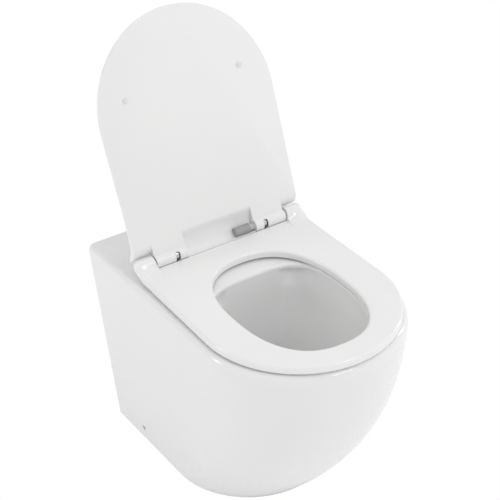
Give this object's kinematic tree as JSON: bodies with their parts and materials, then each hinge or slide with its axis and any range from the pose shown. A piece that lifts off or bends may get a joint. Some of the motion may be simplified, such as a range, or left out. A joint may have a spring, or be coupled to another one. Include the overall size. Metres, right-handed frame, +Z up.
{
  "type": "back to wall toilet",
  "caption": "Back-to-wall toilet: hollow white china pan with bowl, trap and flush inlet, and a slim seat and thin lid that turn on a shared soft-close hinge.",
  "frame": {"origin": "on the floor, under the middle of the overall width and depth", "axes": "+X to the right as seen from the front, -Y to the front, +Y to the wall, +Z up"},
  "size_m": [0.3792, 0.5968, 0.8317],
  "materials": {
    "china": "gloss white glaze",
    "seat_plastic": "gloss white",
    "pad_rubber": "soft matt, off-white",
    "seal_rubber": "matt black",
    "damper_grey": "matt dark grey",
    "collar_grey": "matt light grey",
    "steel": "plain stainless steel"
  },
  "bodies": {
    "pan_body": {"pan_rim": "china", "pan_skirt": "china", "pan_bowl": "china", "pan_trap": "china", "pan_flush": "china", "hinge_gaskets": "pad_rubber", "flush_cone": "seal_rubber", "lid_damper_rotor": "collar_grey", "seat_damper_rotor": "collar_grey", "hinge_washers": "pad_rubber", "hinge_nuts": "collar_grey", "hinge_pin_left": "steel", "hinge_pin_right": "steel", "hinge_plate_left": "steel", "hinge_plate_right": "steel", "hinge_post_left": "steel", "hinge_post_right": "steel", "hinge_bolts": "steel", "floor_bracket_left": "steel", "floor_bracket_right": "steel", "side_screws": "steel", "side_sleeves": "collar_grey"},
    "seat": {"seat_ring": "seat_plastic", "seat_bumpers": "pad_rubber", "seat_damper_housing": "damper_grey", "seat_damper_cap": "collar_grey", "seat_bush_right": "collar_grey"},
    "lid": {"lid_panel": "seat_plastic", "lid_bumpers": "pad_rubber", "lid_damper_housing": "damper_grey", "lid_damper_collar": "collar_grey", "lid_bushes_left": "collar_grey", "lid_bushes_right": "collar_grey"}
  },
  "joints": [
    {"name": "seat_hinge", "type": "hinge", "parent": "pan_body", "child": "seat", "pos_m": [0, 0.1395, 0.426], "axis": [-1, 0, 0], "range_deg": [0, 108]},
    {"name": "lid_hinge", "type": "hinge", "parent": "pan_body", "child": "lid", "pos_m": [0, 0.1395, 0.426], "axis": [-1, 0, 0], "range_deg": [-110.8, 0]}
  ]
}
